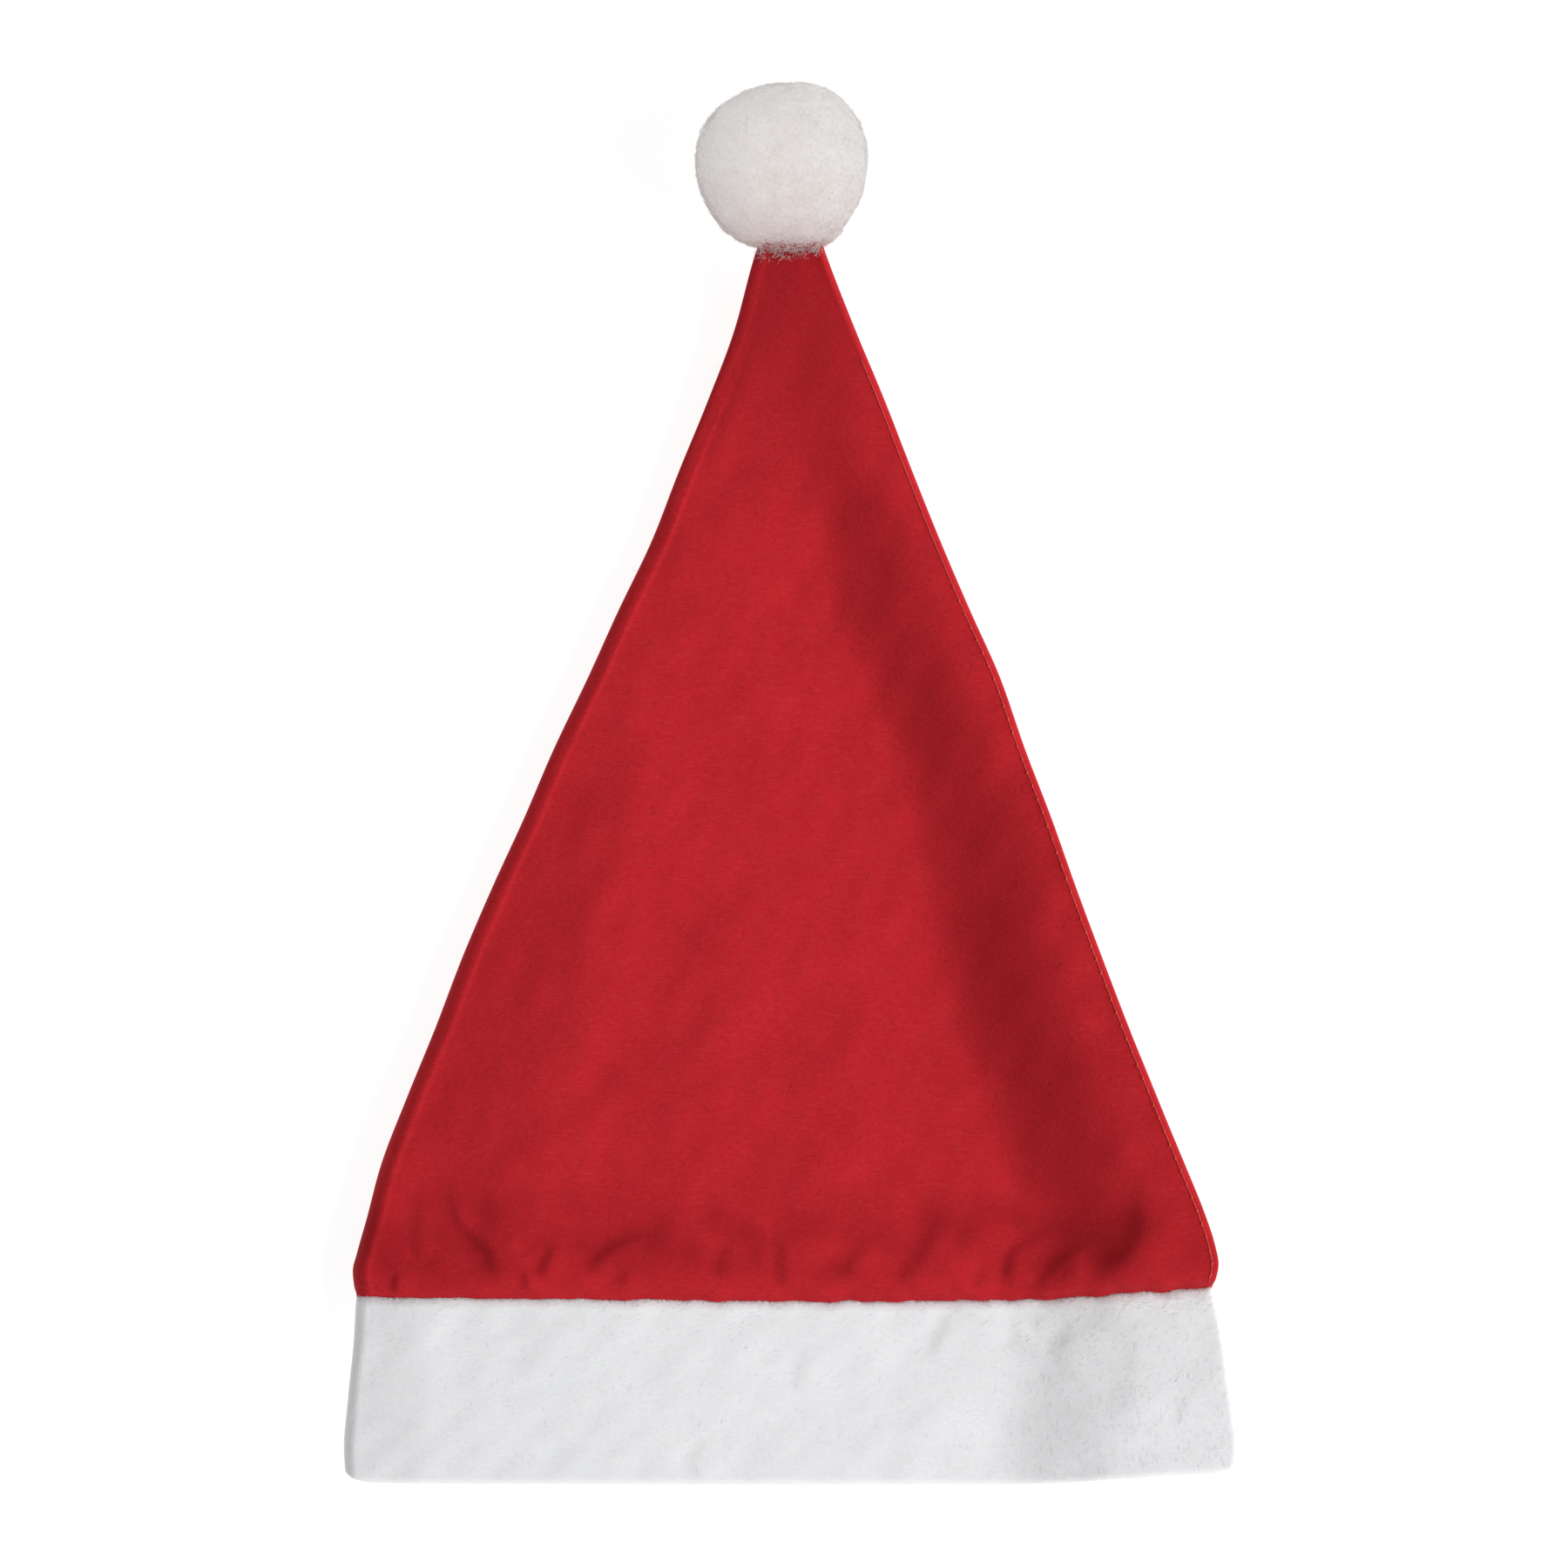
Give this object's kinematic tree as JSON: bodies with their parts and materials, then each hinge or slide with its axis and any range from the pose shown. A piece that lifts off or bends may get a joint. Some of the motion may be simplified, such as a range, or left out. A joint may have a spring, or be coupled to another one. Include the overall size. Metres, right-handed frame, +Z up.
{
  "type": "santa hat",
  "caption": "Hollow red felt cone hat lying flat, with a wide folded white felt band round its open rim and a white fibre pompom sewn on its tip.",
  "frame": {"origin": "the surface that the hat lies on, below the middle of its length and width", "axes": "+Y runs along the hat from its rim to its pompom, +X across it towards the side seam, +Z up from the surface below it"},
  "size_m": [0.29, 0.4528, 0.051],
  "materials": {
    "red_felt": "matt needled felt, bright red, with short stray fibres",
    "white_felt": "matt needled felt, cool white, folded double at the rim",
    "white_fibre": "fine fluffy fibre, off-white"
  },
  "bodies": {
    "root": {"crown": "red_felt", "band": "white_felt", "pompom": "white_fibre"}
  },
  "joints": []
}
